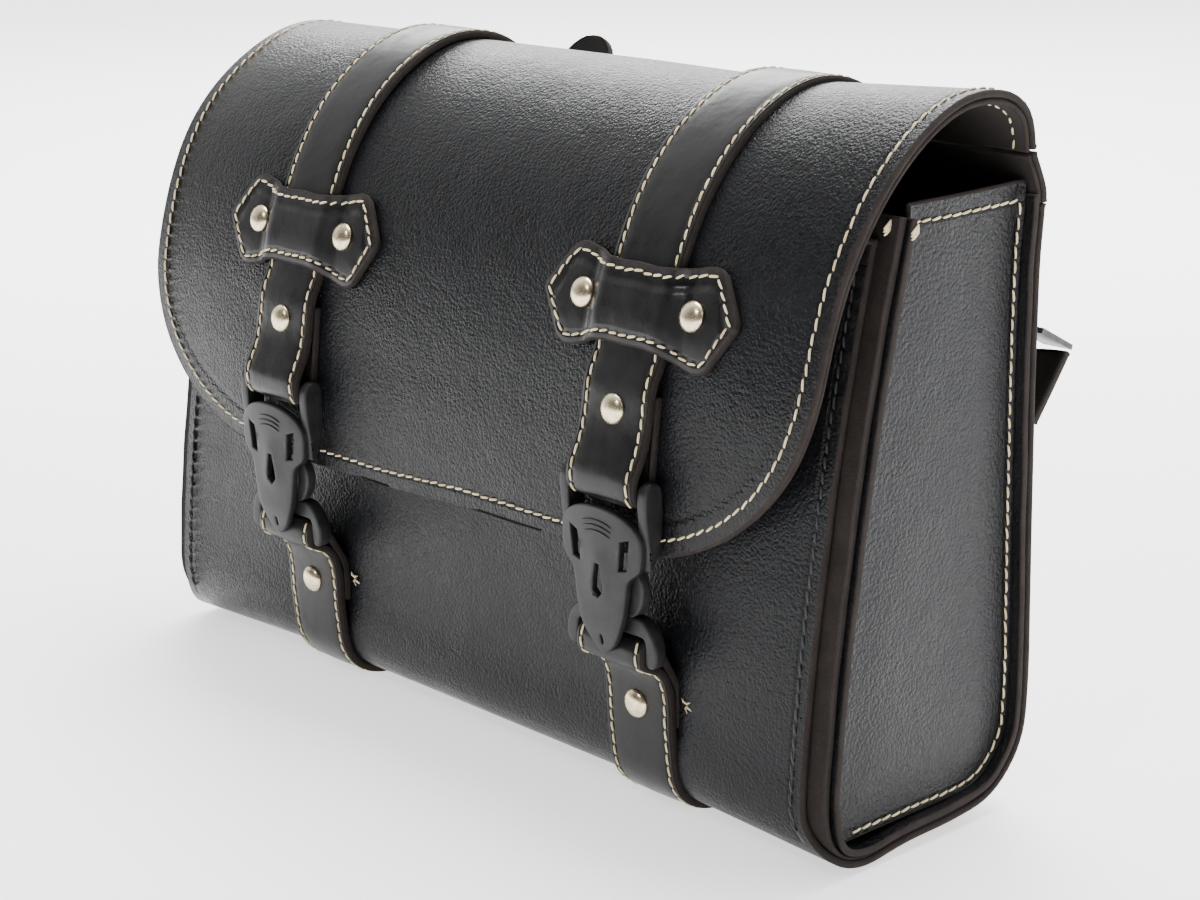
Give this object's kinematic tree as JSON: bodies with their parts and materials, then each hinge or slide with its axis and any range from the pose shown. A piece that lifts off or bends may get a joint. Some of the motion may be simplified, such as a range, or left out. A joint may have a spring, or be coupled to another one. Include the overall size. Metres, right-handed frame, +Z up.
{
  "type": "motorcycle saddlebag",
  "caption": "Leather motorcycle saddlebag with a wrap-over flap, recessed side gussets, two buckled straps under riveted keepers, and mounting belts on the back.",
  "frame": {"origin": "middle of the footprint, on the plane the lower straps rest on", "axes": "+X along the bag to its right end seen from the front, +Z up, -Y towards the buckled front"},
  "size_m": [0.338, 0.1616, 0.2279],
  "materials": {
    "panel_leather": "pebble grain, satin",
    "gusset_leather": "pebble grain, satin",
    "flap_leather": "pebble grain, satin",
    "flap_lining_leather": "matt",
    "welt_leather": "raw flesh side",
    "strap_leather": "smooth, satin",
    "keeper_leather": "smooth, satin",
    "belt_leather": "smooth, satin",
    "belt_metal": "satin",
    "rivet_metal": "satin",
    "buckle_plastic": "fine texture",
    "buckle_arm_plastic": "fine texture",
    "lining_cloth": "woven",
    "board_plastic": "smooth"
  },
  "bodies": {
    "bag": {"back_board": "board_plastic", "belt_buckle_left": "belt_metal", "belt_buckle_right": "belt_metal", "belt_cross": "belt_leather", "belt_hook": "belt_metal", "belt_left": "belt_leather", "belt_loop_left": "belt_leather", "belt_loop_mid": "belt_leather", "belt_loop_right": "belt_leather", "belt_right": "belt_leather", "body_lining": "lining_cloth", "bottom_board": "board_plastic", "buckle_base_left": "buckle_plastic", "buckle_base_right": "buckle_plastic", "gusset_left": "gusset_leather", "gusset_right": "gusset_leather", "main_panel": "panel_leather", "rivets_belt": "rivet_metal", "rivets_strap_lower": "rivet_metal", "strap_lower_left": "strap_leather", "strap_lower_right": "strap_leather", "strap_tail_left": "strap_leather", "strap_tail_right": "strap_leather", "welt_front_left": "welt_leather", "welt_front_right": "welt_leather", "welt_left": "welt_leather", "welt_right": "welt_leather"},
    "flap": {"flap_outer": "flap_leather", "flap_inner": "flap_lining_leather", "strap_upper_left": "strap_leather", "strap_upper_right": "strap_leather", "keeper_left": "keeper_leather", "keeper_right": "keeper_leather", "rivets_keeper": "rivet_metal", "rivets_strap_upper": "rivet_metal"},
    "buckle_upper_left": {"buckle_cover_left": "buckle_plastic"},
    "arm_left_a": {"buckle_arm_left_a": "buckle_arm_plastic"},
    "arm_left_b": {"buckle_arm_left_b": "buckle_arm_plastic"},
    "prong_left": {"belt_prong_left": "belt_metal"},
    "buckle_upper_right": {"buckle_cover_right": "buckle_plastic"},
    "arm_right_a": {"buckle_arm_right_a": "buckle_arm_plastic"},
    "arm_right_b": {"buckle_arm_right_b": "buckle_arm_plastic"},
    "prong_right": {"belt_prong_right": "belt_metal"}
  },
  "joints": [
    {"name": "flap_hinge", "type": "hinge", "parent": "bag", "child": "flap", "pos_m": [0, 0.03535, 0.19985], "axis": [-1, 0, 0], "range_deg": [0, 110]},
    {"name": "buckle_swing_left", "type": "hinge", "parent": "flap", "child": "buckle_upper_left", "pos_m": [-0.081, -0.07535, 0.11035], "axis": [-1, 0, 0], "range_deg": [0, 80]},
    {"name": "arm_squeeze_left_a", "type": "hinge", "parent": "bag", "child": "arm_left_a", "pos_m": [-0.0896, -0.0744, 0.07205], "axis": [0, 1, 0], "range_deg": [0, 5], "stiffness_Nm_per_rad": 0.02},
    {"name": "arm_squeeze_left_b", "type": "hinge", "parent": "bag", "child": "arm_left_b", "pos_m": [-0.0724, -0.0744, 0.07205], "axis": [0, -1, 0], "range_deg": [0, 5], "stiffness_Nm_per_rad": 0.02},
    {"name": "prong_swing_left", "type": "hinge", "parent": "bag", "child": "prong_left", "pos_m": [-0.081, 0.0364, 0.03885], "axis": [1, 0, 0], "range_deg": [0, 100]},
    {"name": "buckle_swing_right", "type": "hinge", "parent": "flap", "child": "buckle_upper_right", "pos_m": [0.089, -0.07535, 0.11035], "axis": [-1, 0, 0], "range_deg": [0, 80]},
    {"name": "arm_squeeze_right_a", "type": "hinge", "parent": "bag", "child": "arm_right_a", "pos_m": [0.0804, -0.0744, 0.07205], "axis": [0, 1, 0], "range_deg": [0, 5], "stiffness_Nm_per_rad": 0.02},
    {"name": "arm_squeeze_right_b", "type": "hinge", "parent": "bag", "child": "arm_right_b", "pos_m": [0.0976, -0.0744, 0.07205], "axis": [0, -1, 0], "range_deg": [0, 5], "stiffness_Nm_per_rad": 0.02},
    {"name": "prong_swing_right", "type": "hinge", "parent": "bag", "child": "prong_right", "pos_m": [0.089, 0.0364, 0.03885], "axis": [1, 0, 0], "range_deg": [0, 100]}
  ]
}
